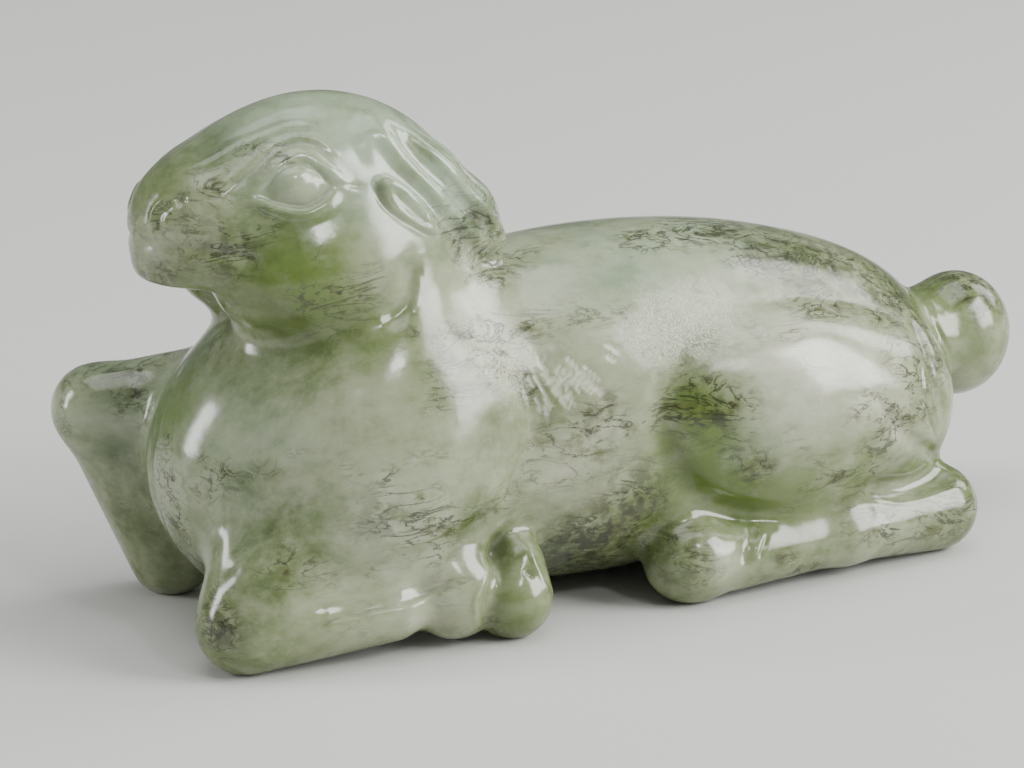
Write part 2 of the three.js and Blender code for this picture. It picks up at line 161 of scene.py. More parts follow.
def near_shoulder():
    blade = egg([-10.6, -5.9, 11.0], [7.6, 3.4, 6.4], pitch=-35)
    upper_arm = limb([-9.5, -5.4, 9.2], 4.3, [-19.0, -6.5, 4.8], 3.1)
    return melt(2, blade, upper_arm)


def head():
    skull = egg([-12.9, 0, 20.5], [10.3, 5.8, 10.2])
    bridge = egg([-17.4, 0, 26.0], [4.0, 2.6, 2.7], pitch=-25)
    muzzle = egg([-19.8, 0, 24.3], [3.6, 3.5, 3.5])
    jaw = keep_above(1, melt(1.5, skull, bridge, muzzle), 21.1)
    cheek = both_sides(egg([-13.8, -2.6, 21.6], [5.9, 4.0, 3.9], pitch=-8))
    eyeball = both_sides(egg([-15.5, -3.7, 26.7], [1.45, 1.1, 1.15]))
    return melt(0.4, melt(1.2, jaw, cheek), eyeball)


# %% [markdown]
# ## Horns, ears, legs and tail
#
# The horns lie back against the neck, each one a fat curved taper, with a leaf of an ear below. The
# legs are folded so that nothing sticks out to be knocked off: hind legs and the near foreleg lie
# flat, and only the far foreleg is raised, with a web of stone left behind it for strength.

# %%
def horn():
    return both_sides(chain(1.5, [-10.0, -1.7, 27.3, 2.5], [-7.2, -2.0, 25.1, 2.4],
                            [-4.6, -2.0, 23.2, 1.9], [-2.6, -1.6, 21.4, 1.25]))


def ear():
    return both_sides(egg([-9.1, -5.0, 24.9], [2.3, 0.6, 0.8], pitch=47))


def hind_leg():
    thigh = egg([13.8, -6.9, 10.0], [9.9, 3.9, 6.3], pitch=6)
    shank = chain(1, [24.6, -6.8, 2.75, 2.6], [17.5, -7.9, 2.7, 1.9], [10.5, -8.2, 2.6, 2.1])
    hoof = egg([7.4, -8.2, 2.7], [3.0, 2.4, 2.6])
    return melt(1.5, thigh, melt(1.2, shank, hoof))


def near_foreleg():
    forearm = chain(0.8, [-20.2, -6.8, 2.9, 2.8], [-12, -8.3, 3.0, 1.9])
    pastern = egg([-8.0, -8.4, 3.3], [2.8, 2.1, 2.7])
    hoof = limb([-4.1, -8.4, 4.4], 1.5, [-4.6, -8.5, 2.5], 2.4)
    return melt(0.4, melt(1.2, forearm, pastern), hoof)


def far_foreleg():
    arm = limb([-12, 4.6, 11.6], 4.0, [-22.4, 8.3, 11.6], 2.3)
    shin = limb([-22.2, 8.3, 11.4], 2.4, [-18.2, 7.6, 2.4], 2.5)
    web = egg([-17, 6.0, 8], [4.4, 2.4, 5.8])
    return melt(1.2, arm, shin, web)


def tail():
    bulb = egg([30.8, 1, 10.6], [3.5, 3.2, 3.8])
    root = limb([25, 0.6, 10.6], 3.8, [29.4, 1, 10.6], 2.8)
    return melt(0.8, bulb, root)


body = melt(1.4, melt(2.6, trunk(), near_shoulder()), head())
legs = melt(0.5, both_sides(hind_leg()), near_foreleg(), far_foreleg())
bare = melt(0.5, melt(1.2, body, legs), horn(), ear(), tail())


def downhill(form, p, reach=0.02):
    slope = np.empty_like(p)
    for axis in range(3):
        step = np.zeros(3)
        step[axis] = reach
        slope[:, axis] = (form(p + step) - form(p - step)) / (2 * reach)
    return slope


def settle(form, p, passes=4):
    for _ in range(passes):
        slope = downhill(form, p)
        p = p - slope * (form(p) / np.maximum((slope ** 2).sum(axis=1), 0.01))[:, None]
    return p


print("middle of the back to the skin, mm:", bare(np.array([[4.7, 0.0, 10.0]])).round(2))

# %% [markdown]
# ## Lines cut with the wheel
#
# A line is a smooth curve through a few places read off the stone. It is settled onto the skin and
# pressed in with soft sides, or raised where its depth is negative. It gets shallower at both
# ends, because the edge of a turning wheel enters and leaves the stone gently.

# %%
def smooth(places, spacing=0.25):
    p = np.array(places, float)
    if len(p) == 2:
        p = np.array([p[0], p.mean(axis=0), p[1]])
    q = np.vstack([2 * p[0] - p[1], p, 2 * p[-1] - p[-2]])
    t = np.linspace(0, 1, 10, endpoint=False)[:, None]
    runs = [0.5 * (2 * b + (c - a) * t + (2 * a - 5 * b + 4 * c - d) * t ** 2
                   + (3 * b - a - 3 * c + d) * t ** 3)
            for a, b, c, d in zip(q, q[1:], q[2:], q[3:])]
    fine = np.vstack(runs + [p[-1:]])
    walked = np.concatenate([[0], np.cumsum(np.linalg.norm(np.diff(fine, axis=0), axis=1))])
    stops = np.linspace(0, walked[-1], max(3, int(walked[-1] / spacing)))
    return np.stack([np.interp(stops, walked, fine[:, i]) for i in range(3)], axis=1)


class Line:
    def __init__(self, depth, width, *places, side=0, ends=0.15):
        self.depth, self.width, self.side, self.ends = depth, width, side, ends
        self.beads = settle(bare, smooth(places))
        self.low = self.beads.min(axis=0) - 3 * width
        self.high = self.beads.max(axis=0) + 3 * width

    def away(self, p):
        """Distance to the line and the place along it, 0 to 1, for points near it."""
        q = near_side(p) if self.side == 0 else p
        near = np.flatnonzero(((q > self.low) & (q < self.high)).all(axis=1))
        a, u = self.beads[:-1], np.diff(self.beads, axis=0)
        apart = np.full(len(near), np.inf)
        where = np.zeros(len(near))
        for i in range(len(a)):
            r = q[near] - a[i]
            t = np.clip(r @ u[i] / (u[i] @ u[i]), 0, 1)
            d = ((r - t[:, None] * u[i]) ** 2).sum(axis=1)
            closer = d < apart
            apart[closer] = d[closer]
            where[closer] = (i + t[closer]) / len(a)
        return near, np.sqrt(apart), where

    def __call__(self, p):
        near, apart, where = self.away(p)
        run_out = np.minimum(1, self.ends + 5 * np.minimum(where, 1 - where))
        cut = np.zeros(len(p))
        cut[near] = self.depth * run_out * np.exp(-(apart / self.width) ** 2)
        return cut


def pressed(lines, p):
    return sum(line(p) for line in lines)


# %% [markdown]
# ## The main lines
#
# These are the cuts that can be seen from across a room, and the solid has them too: the horns'
# ridges, the ears, the lids, the mouth, the crease around each thigh and the folds at the hock.
# A line is given on the near side and its mirror image is cut on the far side, unless it is marked
# as a single one.

# %%
main_lines = [
    # horn: upper ridge, groove, lower ridge, hollow in front
    Line(-0.2, 0.45, [-8.6, -2.3, 29.2], [-7.1, -3.5, 27.4], [-5.3, -3.9, 25.4],
         [-3.2, -3.7, 23.1], [-2.1, -2.7, 21.8]),
    Line(0.42, 0.5, [-9.6, -3.2, 29.2], [-8.2, -3.9, 27.3], [-6.7, -4.4, 25.7],
         [-4.6, -4.1, 23.5], [-3.1, -3.6, 22.0]),
    Line(-0.2, 0.45, [-10.0, -3.4, 29.1], [-8.9, -3.9, 27.3], [-7.0, -4.6, 25.1],
         [-4.9, -4.2, 22.9], [-2.8, -2.8, 21.2]),
    Line(0.2, 0.6, [-10.5, -3.3, 29.1], [-9.9, -4.2, 27.4], [-8.4, -4.6, 25.7], [-6.7, -4.5, 24.0]),
    # ear: raised lower edge and hollow
    Line(-0.1, 0.35, [-10.8, -5.0, 26.3], [-10.3, -5.4, 25.1], [-9.2, -5.5, 24.3], [-7.4, -5.0, 23.0]),
    Line(0.25, 0.35, [-10.2, -5.2, 26.2], [-9.4, -5.6, 25.2], [-8.2, -5.5, 24.0]),
    # upper and lower lid
    Line(-0.3, 0.34, [-18.3, -3.8, 26.2], [-17.2, -3.8, 27.2], [-16.3, -3.6, 27.9],
         [-14.9, -3.6, 28.2], [-13.8, -4.1, 27.4], [-12.6, -4.7, 26.3]),
    Line(-0.3, 0.34, [-18.3, -3.8, 26.2], [-16.9, -4.5, 25.5], [-15.6, -5.0, 25.2],
         [-14.3, -5.0, 25.5], [-13.2, -4.8, 26.2]),
    # nostril, wing of the nose, mouth
    Line(0.42, 0.32, [-21.8, -2.4, 26.3], [-21.4, -2.6, 26.1]),
    Line(0.2, 0.28, [-21.9, -2.3, 26.0], [-22.6, -1.9, 25.5], [-22.7, -1.9, 24.8], [-22.4, -2.5, 24.2]),
    Line(0.2, 0.32, [-23.5, 0, 23.5], [-22.8, -2.1, 23.7], [-21.4, -3.3, 23.7],
         [-19.6, -4.2, 23.3], [-17.8, -5.3, 22.9]),
    # back of the cheek
    Line(0.35, 0.6, [-9.4, -6.1, 22.4], [-9.6, -6.4, 21.2], [-10.3, -6.8, 19.9], [-11.6, -6.9, 18.9]),
    # crease around the thigh, folds at the hock, cleft above the hoof, fold beside the tail
    Line(0.5, 0.8, [7.2, -8.4, 14.8], [5.2, -8.8, 12.8], [4.8, -9.0, 11.0], [5.3, -9.0, 9.2],
         [6.6, -9.0, 7.5], [8.2, -8.8, 6.2], [10.0, -8.9, 5.3], [12.5, -9.1, 4.7]),
    Line(0.4, 0.4, [18.5, -10.2, 11.2], [19.4, -10.1, 9.8], [20.9, -9.5, 8.4],
         [22.8, -8.6, 7.1], [24.7, -7.0, 5.8]),
    Line(0.6, 0.55, [17.6, -9.6, 6.1], [19.9, -9.0, 5.3], [21.9, -8.6, 4.9], [25.2, -8.0, 5.3]),
    Line(0.35, 0.45, [10.7, -9.2, 4.5], [10.0, -10.0, 3.8], [9.4, -10.3, 2.6]),
    Line(0.3, 0.5, [23.4, -5.6, 14.2], [23.2, -6.8, 12.9], [23.2, -7.8, 11.2], [24.2, -7.8, 8.6]),
    # single ones: folded shoulder, forearm, chest and tail
    Line(0.35, 0.8, [-4.3, -7.6, 15.4], [-3.4, -8.1, 13.9], [-3.1, -8.4, 12.6],
         [-3.3, -8.6, 11.1], [-4.4, -8.9, 9.6], [-5.5, -9.0, 8.3], side=1),
    Line(0.3, 0.9, [-5.5, -9.0, 8.0], [-9.3, -9.9, 6.6], [-14.7, -9.8, 5.5], [-17.4, -9.8, 5.3], side=1),
    Line(0.2, 0.9, [-16.5, -8.5, 10.8], [-19.0, -7.5, 8.6], [-20.8, -7.2, 7.2], [-22.0, -7.5, 5.4], side=1),
    Line(0.45, 0.45, [-5.1, -8.2, 6.3], [-5.9, -8.9, 5.0], [-6.8, -10.0, 3.6], [-6.9, -10.0, 1.6], side=1),
    Line(0.25, 0.5, [-16.5, -9.6, 3.9], [-13.1, -9.8, 4.0], [-10.4, -9.9, 4.6], side=1),
    Line(0.2, 0.5, [-20.0, 2.2, 15.4], [-21.4, 1.6, 12.9], [-22.1, 1.4, 10.8], [-22.1, 1.0, 8.6],
         [-21.6, 0.9, 6.2], side=1),
    Line(0.3, 0.4, [27.6, 1.2, 14.2], [27.4, -1.0, 13.5], [27.6, -2.2, 12.3], [27.8, -2.8, 10.8],
         [27.8, -2.5, 9.0], side=1),
]


def ram(p):
    return bare(p) + pressed(main_lines, p)


print(len(main_lines), "main lines")

# %% [markdown]
# ## The skin of the stone
#
# The solid is faceted. A copy of it is remeshed with even small cells, and every corner is then
# moved onto the drawn form, so the polished surface reflects without facets. The corners under the
# ground line are pressed onto it: these are the flats on which the ram stands.

# %%
def copy_of_node(name, cell):
    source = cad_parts[name].data
    mesh = source.copy()
    bm = bmesh.new()
    bm.from_mesh(mesh)
    bmesh.ops.remove_doubles(bm, verts=bm.verts, dist=1e-7)
    bm.to_mesh(mesh)
    bm.free()
    draft = bpy.data.objects.new("draft", mesh)
    bpy.context.scene.collection.objects.link(draft)
    remesh = draft.modifiers.new("even cells", "REMESH")
    remesh.mode, remesh.voxel_size = "VOXEL", cell
    even = bpy.data.meshes.new_from_object(draft.evaluated_get(bpy.context.evaluated_depsgraph_get()))
    bpy.data.objects.remove(draft)
    return even


def corners(mesh):
    flat = np.empty(3 * len(mesh.vertices))
    mesh.vertices.foreach_get("co", flat)
    return to_drawing(flat.reshape(-1, 3))


def put_corners(mesh, p):
    mesh.vertices.foreach_set("co", to_scene(p).ravel())
    mesh.update()


def onto_form(p, passes):
    p = settle(ram, p, passes)
    p[:, 2] = np.maximum(p[:, 2], GROUND)
    return p


skin = copy_of_node("jade_ram", 0.0004)
print("even skin:", len(skin.vertices), "corners")
put_corners(skin, onto_form(corners(skin), 3))

# %% [markdown]
# ## Finer cells where the tool was finer
#
# Even cells are too coarse for the eyes and too many for the flanks. The cells are therefore split
# in four near each line and over the face, and the new corners are moved onto the form again. This
# keeps the piece under two hundred thousand triangles.

# %%
def split_cells(mesh, near_detail):
    middle = np.empty(3 * len(mesh.polygons))
    mesh.polygons.foreach_get("center", middle)
    chosen = near_detail(to_drawing(middle.reshape(-1, 3)))
    bm = bmesh.new()
    bm.from_mesh(mesh)
    bm.faces.ensure_lookup_table()
    edges = {e for i in np.flatnonzero(chosen) for e in bm.faces[i].edges}
    bmesh.ops.subdivide_edges(bm, edges=list(edges), cuts=1, use_grid_fill=True)
    bm.to_mesh(mesh)
    bm.free()


def within(lines, reach):
    def test(p):
        close = np.zeros(len(p), bool)
        for line in lines:
            near, apart, _ = line.away(p)
            close[near[apart < reach * line.width]] = True
        return close
    return test


# %% [markdown]
# ## The fine lines
#
# A second, narrower wheel sharpened what the first one had set out. The lids get an inner edge, the
# brow a fold, the horns their grain, and the thigh's crease a crisp bottom that catches the light
# as a bright thread. They stay out of the solid, since a part this small loses nothing without
# them, and they are cut only as deep as a hair is thick.

# %%
def horn_grain():
    """Four fine grooves that follow the horn from crown to tip."""
    top = np.array([[-8.0, -1.3, 29.0], [-6.4, -2.3, 27.6], [-4.6, -2.9, 25.6], [-2.6, -2.8, 23.2]])
    low = np.array([[-9.4, -3.7, 28.0], [-8.2, -4.4, 26.5], [-6.0, -4.4, 24.1], [-3.4, -3.4, 21.7]])
    for share in (0.1, 0.36, 0.62, 0.88):
        yield Line(0.09, 0.14, *(top + share * (low - top)), ends=0.0)


fine_lines = [
    # edge of the lids against the eyeball, front corner, folds behind and above the eye
    Line(0.13, 0.13, [-17.9, -4.0, 26.35], [-17.0, -4.0, 27.0], [-16.2, -3.9, 27.5],
         [-15.0, -4.0, 27.7], [-14.2, -4.3, 27.2], [-13.7, -4.7, 26.6]),
    Line(0.13, 0.13, [-17.9, -4.0, 26.3], [-16.9, -4.5, 25.95], [-15.6, -4.9, 25.7],
         [-14.5, -4.9, 25.9], [-13.7, -4.7, 26.5]),
    Line(0.10, 0.22, [-19.6, -3.4, 26.3], [-18.8, -3.4, 26.9], [-17.8, -3.3, 27.6], [-16.9, -3.2, 28.2],
         [-15.7, -3.1, 28.7], [-14.4, -3.3, 28.7], [-13.4, -3.8, 28.2]),
    Line(-0.08, 0.2, [-19.4, -3.2, 26.9], [-18.2, -3.1, 27.7], [-16.9, -3.0, 28.6], [-15.3, -3.0, 29.1],
         [-13.9, -3.3, 28.9], [-12.9, -3.9, 28.2]),
    Line(0.08, 0.16, [-13.3, -4.8, 26.7], [-12.6, -4.9, 26.5], [-11.8, -5.0, 26.4]),
    # ridge along the top of the face
    Line(-0.12, 0.4, [-21.4, -1.4, 27.3], [-20.0, -1.9, 28.0], [-18.4, -2.2, 28.8], [-16.8, -2.5, 29.4],
         [-15.3, -2.6, 29.8], [-14.0, -2.8, 29.7], [-12.8, -3.1, 29.4]),
    # pit of the nostril, upper lip, mouth and chin
    Line(0.22, 0.16, [-21.75, -2.35, 26.25], [-21.55, -2.45, 26.15], ends=1),
    Line(-0.1, 0.18, [-22.0, -2.0, 26.3], [-22.5, -1.6, 25.9], [-22.9, -1.5, 25.3], [-22.9, -1.7, 24.6]),
    Line(0.12, 0.13, [-23.5, 0.0, 23.6], [-23.2, -1.2, 23.8], [-22.4, -2.4, 24.0], [-21.0, -3.5, 23.6],
         [-19.2, -4.3, 23.2], [-17.9, -5.1, 23.1]),
    # slit and pale rim at the back of the cheek
    Line(0.2, 0.16, [-10.0, -6.2, 21.8], [-9.8, -6.3, 20.8], [-9.8, -6.4, 20.1], [-10.2, -6.7, 19.4]),
    Line(-0.12, 0.2, [-9.4, -6.0, 22.0], [-9.2, -6.2, 21.0], [-9.4, -6.4, 20.1], [-9.9, -6.7, 19.4]),
    # crisp edges of the ear
    Line(0.12, 0.12, [-10.3, -5.2, 26.2], [-9.7, -5.5, 25.4], [-8.8, -5.6, 24.4], [-7.9, -5.4, 23.7]),
    Line(0.14, 0.2, [-9.9, -4.7, 26.6], [-9.0, -5.0, 26.1], [-8.0, -5.1, 24.9], [-7.2, -4.9, 23.3]),
    Line(0.14, 0.2, [-11.1, -4.9, 26.2], [-10.8, -5.2, 25.2], [-9.9, -5.5, 24.3], [-8.6, -5.3, 23.5],
         [-7.4, -5.0, 22.9]),
    # bottom of the thigh's crease, folds and slits of the hock
    Line(0.14, 0.16, [4.9, -8.5, 13.4], [4.6, -8.7, 11.7], [4.8, -8.7, 10.6], [5.7, -8.9, 8.7],
         [7.2, -8.7, 7.0], [9.2, -8.5, 5.6], [11.4, -8.9, 4.9], [13.6, -9.4, 4.6]),
    Line(0.16, 0.13, [18.4, -10.2, 11.4], [18.9, -10.1, 10.4], [19.7, -9.9, 9.5], [21.0, -9.5, 8.5],
         [23.1, -8.2, 6.9]),
    Line(0.1, 0.14, [19.4, -10.2, 8.7], [18.9, -10.1, 8.1], [18.2, -10.1, 7.5]),
    Line(0.08, 0.14, [15.6, -10.0, 6.2], [16.6, -9.9, 6.1], [17.5, -10.0, 6.8]),
    Line(0.1, 0.14, [11.4, -9.7, 4.0], [11.1, -10.0, 3.6], [10.5, -10.2, 2.8]),
    Line(-0.1, 0.2, [17.0, -10.0, 5.5], [19.4, -9.5, 4.7], [22.0, -9.0, 4.2], [25.2, -8.4, 4.2]),
]

single_fine_lines = [
    # thread of light along the folded shoulder, and the line that the chest ends in
    Line(0.14, 0.2, [-3.4, -7.9, 14.3], [-3.2, -8.2, 12.8], [-3.5, -8.6, 11.0], [-4.3, -8.8, 9.4],
         [-5.5, -9.0, 8.2], [-7.7, -9.5, 7.5], [-11.3, -9.8, 6.8], side=1),
    Line(-0.1, 0.3, [-20.8, -6.9, 7.4], [-19.1, -7.6, 8.7], [-17.6, -8.3, 10.4], [-16.8, -8.6, 11.4], side=1),
    Line(0.1, 0.14, [-21.6, 2.6, 14.0], [-22.4, 2.2, 12.2], [-22.7, 1.8, 10.4], [-22.4, 1.2, 8.2],
         [-21.6, 0.6, 6.4], side=1),
    # long facets of the folded forearm and the strap above its hoof
    Line(0.14, 0.2, [-17.4, -9.7, 4.2], [-15.8, -9.7, 4.2], [-14.2, -9.7, 4.2], side=1),
    Line(0.12, 0.2, [-17.3, -9.9, 3.2], [-15.4, -9.9, 3.7], [-13.6, -9.9, 3.9], side=1),
    Line(0.14, 0.2, [-12.4, -9.9, 3.8], [-10.6, -9.8, 4.1], [-9.0, -10.1, 4.8], side=1),
    Line(-0.1, 0.22, [-12.2, -10.0, 3.4], [-10.4, -9.9, 3.7], [-8.7, -10.3, 4.2], side=1),
    Line(0.2, 0.14, [-5.0, -8.3, 6.2], [-5.3, -8.5, 5.2], [-6.1, -9.2, 4.5], [-7.0, -10.1, 3.6],
         [-7.3, -10.3, 2.6], [-6.9, -9.9, 1.5], side=1),
    Line(-0.12, 0.18, [-5.6, -8.4, 6.2], [-6.0, -8.9, 5.2], [-7.0, -10.1, 4.5], [-7.9, -10.4, 3.4],
         [-7.7, -10.3, 2.2], side=1),
    Line(-0.1, 0.2, [-4.0, -9.3, 5.6], [-3.8, -9.9, 4.7], [-3.4, -10.3, 3.5], [-3.1, -10.2, 2.6], side=1),
    Line(0.2, 0.14, [-4.4, -10.15, 4.4], [-4.2, -10.25, 4.2], side=1, ends=1),
    # two rings around the root of the tail and the folds of the rump in front of it
    Line(0.14, 0.16, [28.2, 2.4, 14.0], [27.6, 0.4, 14.3], [27.2, -1.4, 13.4], [27.7, -2.1, 11.9],
         [28.6, -2.3, 10.1], side=1),
    Line(-0.12, 0.2, [27.4, 2.2, 14.4], [26.9, 0.2, 14.6], [26.4, -1.8, 13.7], [26.8, -2.9, 12.0],
         [27.4, -3.2, 10.0], side=1),
    Line(0.1, 0.15, [22.7, -7.9, 12.6], [22.3, -8.8, 11.7], [22.3, -9.2, 10.3], [22.7, -9.1, 9.0],
         [23.7, -8.3, 7.4], side=1),
    Line(-0.08, 0.2, [23.2, -7.7, 12.1], [22.9, -8.6, 11.3], [23.1, -8.8, 10.0], [23.6, -8.6, 8.9], side=1),
]

fine_lines += list(horn_grain()) + single_fine_lines
print(len(fine_lines), "fine lines")


def face_or_line(p):
    q = near_side(p)
    face = (q[:, 0] < -11.5) & (q[:, 2] > 22.4) & (q[:, 1] < -1.2)
    return face | within(main_lines, 1.7)(p) | within(fine_lines, 2.6)(p)


split_cells(skin, face_or_line)
put_corners(skin, onto_form(corners(skin), 2))
print("skin after the first split:", len(skin.polygons), "cells")
split_cells(skin, within(fine_lines, 1.8))
print("skin after the second split:", len(skin.polygons), "cells")
put_corners(skin, onto_form(corners(skin), 2))

# %% [markdown]
# ## Cutting the fine lines
#
# The corners are moved inwards by the depth of each line, square to the form. A negative depth
# raises a rib, which on the real stone is what stays standing between two cuts.

# %%
def outward(p, reach=0.05):
    slope = np.stack([bare(p + step) - bare(p - step) for step in reach * np.eye(3)], axis=1)
    return slope / np.linalg.norm(slope, axis=1, keepdims=True)


places = corners(skin)
places -= outward(places) * pressed(fine_lines, places)[:, None]
places[:, 2] = np.maximum(places[:, 2], GROUND)
put_corners(skin, places)

# %% [markdown]
# ## Where the stone changes, and where light is painted
#
# Jade is felted from fine needles and stained unevenly by iron. The photograph shows where it is
# milky and where black-brown flecks and veins gather. It also shows where the stone looks a
# saturated green and where cool and bluish, and these two are painted light: a painted glow of
# light through the stone in the shaded hollows and undersides, and a painted cool light on the
# tops. Each of these is kept as a number at every corner, built up from soft round spots that were
# read off the photograph. The far side gets the same spots, slipped along the body, since it can't
# be seen. Noise in the material then breaks up their edges.

# %%
# Soft spots serve both the stone's own clouds, stains and worked patches and the painted light.
def stains_and_painted_light(p, spots):
    """Sum of soft spots, each given as its middle, its radius in mm and its strength."""
    q = near_side(p)
    q[:, 0] += 0.3 * np.maximum(p[:, 1] - 1.0, 0.0)
    total = np.zeros(len(p))
    for x, y, z, radius, strength in spots:
        apart2 = ((q - [x, y, z]) ** 2 * [1, 0.5, 1]).sum(axis=1)
        total += strength * np.exp(-apart2 / radius ** 2)
    return total


milky = [
    (-5.6, -5.6, 19.2, 2.6, 0.5), (-4.2, -6.4, 17.0, 3.2, 0.6), (0.4, -5.1, 18.8, 3.0, 0.4),
    (8.6, -6.5, 17.2, 4.0, 0.6), (2.6, -8.0, 15.2, 3.0, 0.6), (12.1, -8.5, 15.4, 3.6, 0.5),
    (15.1, -10.0, 12.9, 4.4, 0.8), (0.9, -8.9, 11.0, 3.4, 0.5), (-1.0, -8.6, 8.8, 2.4, 0.4),
    (-10.6, -10.3, 10.8, 3.2, 0.45), (-14.0, -9.7, 9.4, 2.6, 0.5), (-15.1, -9.5, 4.3, 2.4, 0.5),
    (-9.8, -9.9, 4.1, 2.6, 0.5), (7.9, -10.3, 3.8, 2.0, 0.6), (16.9, -9.8, 3.7, 4.0, 0.4),
    (-21.0, -3.5, 24.7, 2.0, 0.5), (-13.0, -6.0, 22.6, 1.6, 0.2), (19.9, -7.0, 14.6, 3.0, 0.5),
    (20.1, -9.9, 10.8, 3.0, 0.3), (-16.0, -4.7, 26.8, 1.4, 0.3), (-11.8, -9.1, 15.2, 3.0, 0.35),
    (-22.3, 6.8, 6.5, 4.0, 0.5), (-19.8, -5.6, 12.6, 3.0, 0.1), (-22.6, -2.4, 23.0, 1.2, 0.4),
]
# Painted light: a cool bluish light laid mostly on the tops of the head, horns and back, and on a few lit
# sides.
painted_cool_light = [
    (-14.6, -2.7, 29.3, 5.0, 0.8), (-9.1, -4.0, 27.8, 3.4, 0.9), (-5.4, -3.8, 25.0, 3.0, 0.8),
    (5.9, -4.3, 19.6, 3.6, 0.8), (12.0, -3.4, 19.4, 3.4, 0.6), (0.4, -4.4, 19.4, 3.0, 0.4),
    (-19.8, -5.6, 12.6, 4.4, 0.5), (-22.3, 6.8, 6.5, 5.0, 0.7), (10.3, -10.5, 9.6, 3.0, 0.4),
    (-12.0, -9.6, 8.0, 3.0, 0.3),
]
# Painted light: a saturated green glow of light through the stone, laid in the shaded hollows and undersides
# of the thigh, jaw, chest, legs and tail.
painted_glow = [
    (6.5, -9.2, 12.6, 2.2, 0.9), (6.7, -9.7, 9.7, 2.4, 1.0), (9.5, -9.7, 6.9, 2.4, 1.0),
    (13.5, -9.8, 5.9, 2.4, 0.8), (16.7, -10.0, 6.8, 2.2, 0.6), (-14.6, -6.3, 20.2, 2.6, 0.7),
    (-17.6, -5.6, 21.9, 2.8, 0.8), (-14.3, -5.7, 24.0, 2.0, 0.4), (-21.8, -2.9, 22.4, 1.4, 0.6),
    (-22.3, -1.2, 26.6, 2.4, 0.5), (-21.2, 0.6, 13.9, 2.6, 0.8), (24.2, -7.9, 7.2, 2.6, 0.4),
    (-5.2, -10.7, 2.5, 2.4, 0.5), (6.0, -10.5, 2.2, 2.2, 0.5), (29.4, -1.8, 12.3, 3.4, 0.5),
    (3.6, -8.7, 6.4, 2.4, 0.5), (-22.0, -8.0, 2.6, 2.4, 0.4), (-16.8, -9.0, 3.0, 2.6, 0.3),
    (-10.2, -7.8, 17.6, 2.8, 0.5), (20.5, -6.0, 15.6, 3.0, 0.4),
]
dark = [
    (7.7, -9.9, 11.7, 1.3, 1.0), (10.2, -10.3, 8.2, 1.2, 0.7), (3.5, -8.9, 7.4, 2.0, 0.8),
    (1.5, -7.8, 4.8, 2.4, 0.9), (-0.6, -7.2, 4.4, 2.0, 0.6), (14.4, -3.5, 19.0, 2.4, 0.6),
    (18.3, -3.7, 17.6, 2.6, 0.7), (22.0, -4.4, 15.6, 2.2, 0.7), (-5.3, -4.3, 22.8, 0.8, 0.9),
    (-19.4, -4.2, 23.4, 1.4, 0.8), (31.5, -1.3, 13.6, 1.8, 0.9), (-13.6, -10.2, 8.9, 1.6, 0.6),
    (-22.5, -8.4, 3.4, 1.0, 1.0), (-24.4, 7.2, 12.4, 1.3, 0.8), (23.9, -7.1, 12.2, 2.0, 0.7),
    (0.9, -8.8, 12.2, 1.4, 0.6), (-3.2, -7.6, 14.4, 1.0, 0.7), (6.4, -10.2, 3.2, 1.6, 0.6),
    (-22.4, -2.2, 22.2, 0.8, 0.7), (-23.4, 0.0, 22.0, 1.0, 0.5), (8.0, -9.0, 15.0, 1.4, 0.3),
]
unpolished = [
    (5.7, -7.2, 16.8, 1.7, 1.0), (7.4, -7.4, 16.5, 1.9, 1.0), (9.4, -7.2, 16.9, 1.8, 0.8),
    (4.2, -7.5, 16.0, 1.3, 0.7), (-5.9, -8.0, 16.2, 1.3, 0.9), (-6.5, -6.8, 18.3, 1.1, 0.6),
    (-3.8, -7.6, 15.8, 1.5, 0.9), (-4.8, -7.8, 14.8, 1.0, 0.7),
]
tufts = [
    (-2.9, -7.9, 15.0, 0.42, 1.0), (-2.5, -8.0, 14.0, 0.42, 1.0), (-2.2, -8.1, 13.2, 0.4, 0.9),
    (-1.7, -7.9, 15.2, 0.5, 1.0), (-1.2, -8.0, 14.4, 0.6, 1.0), (-0.9, -8.1, 13.6, 0.55, 1.0),
    (-0.2, -8.0, 15.4, 0.55, 1.0), (0.3, -8.1, 14.7, 0.55, 1.0), (0.9, -8.2, 14.0, 0.5, 0.9),
    (1.9, -7.8, 16.2, 0.35, 0.8), (2.2, -7.8, 15.4, 0.35, 0.8), (-2.6, -7.3, 16.2, 0.4, 0.5),
]


def keep_number(mesh, name, values):
    layer = mesh.attributes.new(name, "FLOAT", "POINT")
    layer.data.foreach_set("value", np.clip(values, 0, 1).astype(np.float32))


def fill_masks(mesh):
    p = corners(mesh)
    # Two of these numbers are painted light, not stone: the cool bluish tint on the tops and the green glow
    # in the shaded hollows.
    for name, spots in (("milky", milky), ("painted_cool_light", painted_cool_light), ("painted_glow", painted_glow), ("dark", dark),
                        ("unpolished", unpolished), ("coat", tufts)):
        keep_number(mesh, name, stains_and_painted_light(p, spots))
        print(name, "covers", round(100 * float((stains_and_painted_light(p, spots) > 0.3).mean())), "% of the corners")


def over_coat(p):
    return stains_and_painted_light(p, tufts) > 0.12


split_cells(skin, over_coat)
fill_masks(skin)
print("skin with the coat's cells:", len(skin.polygons), "cells")

# %% [markdown]
# ## The coat, scratched in
#
# Behind the shoulder the coat is shown by tufts of short scratches that fan out downwards. Each
# scratch is a few strokes of a pointed tool. A node tree does the same: it scatters points over
# the tufts, lays a short line along the coat at each, lets it hug the body, and presses the skin in
# near every line. The same tree would take any length, spacing and depth of scratch.

